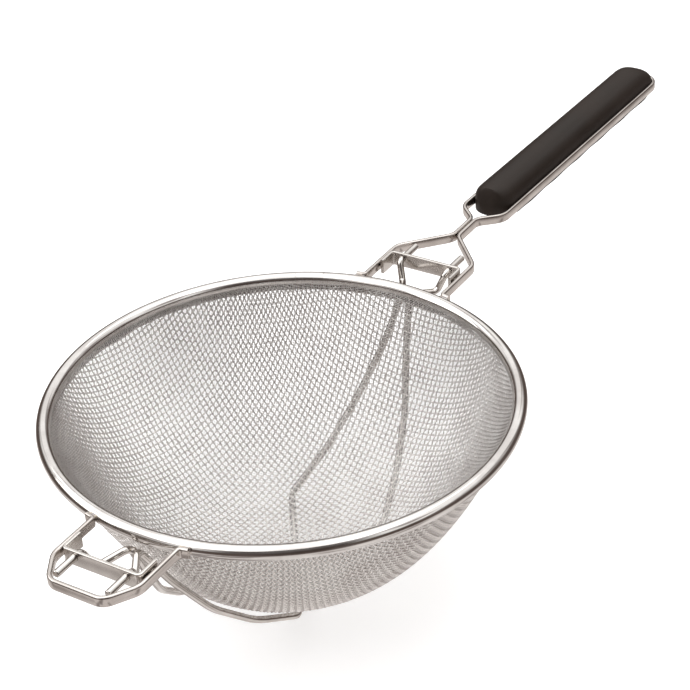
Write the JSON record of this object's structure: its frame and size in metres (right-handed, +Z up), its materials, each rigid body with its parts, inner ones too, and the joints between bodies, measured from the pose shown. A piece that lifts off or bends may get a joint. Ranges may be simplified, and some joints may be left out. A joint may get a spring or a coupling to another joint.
{
  "type": "double mesh strainer",
  "caption": "Round double-mesh kitchen strainer: a deep woven bowl in a rolled rim, with a pot hook, crossed support wires and a strap handle with a moulded grip.",
  "frame": {"origin": "middle of the bounding box at its lowest level, which is the underside of the support wires' crossing", "axes": "+X from the pot hook to the end of the grip, +Y to the left, +Z up, out of the bowl's mouth"},
  "size_m": [0.639, 0.26, 0.1305],
  "materials": {
    "polished_steel": "polished stainless sheet, bright with faint marks along the bead",
    "strap_steel": "flat stainless strap, tumbled to an even sheen",
    "plate_steel": "pressed stainless plate, satin",
    "wire_steel": "drawn stainless wire, smooth and bright",
    "core_steel": "plain drawn wire, out of sight",
    "coarse_mesh": "coarse woven stainless wire",
    "fine_mesh": "fine woven stainless wire",
    "weld": "small cleaned welds, slightly darker than the steel",
    "grip_composite": "dark brown-black moulded composite, satin"
  },
  "bodies": {
    "root": {"rim_band": "polished_steel", "rim_joint": "polished_steel", "rim_core_wire": "core_steel", "inner_mesh": "fine_mesh", "outer_mesh": "coarse_mesh", "front_hook": "strap_steel", "hook_welds": "weld", "front_cross_plate": "plate_steel", "front_plate_welds": "weld", "handle_strap": "strap_steel", "handle_welds": "weld", "rear_cross_plate": "plate_steel", "rear_plate_welds": "weld", "neck_weld": "weld", "grip": "grip_composite", "support_wire_left": "wire_steel", "support_wire_right": "wire_steel", "wire_crossing_weld": "weld", "front_wire_weld": "weld", "rear_wire_weld": "weld"}
  },
  "joints": []
}
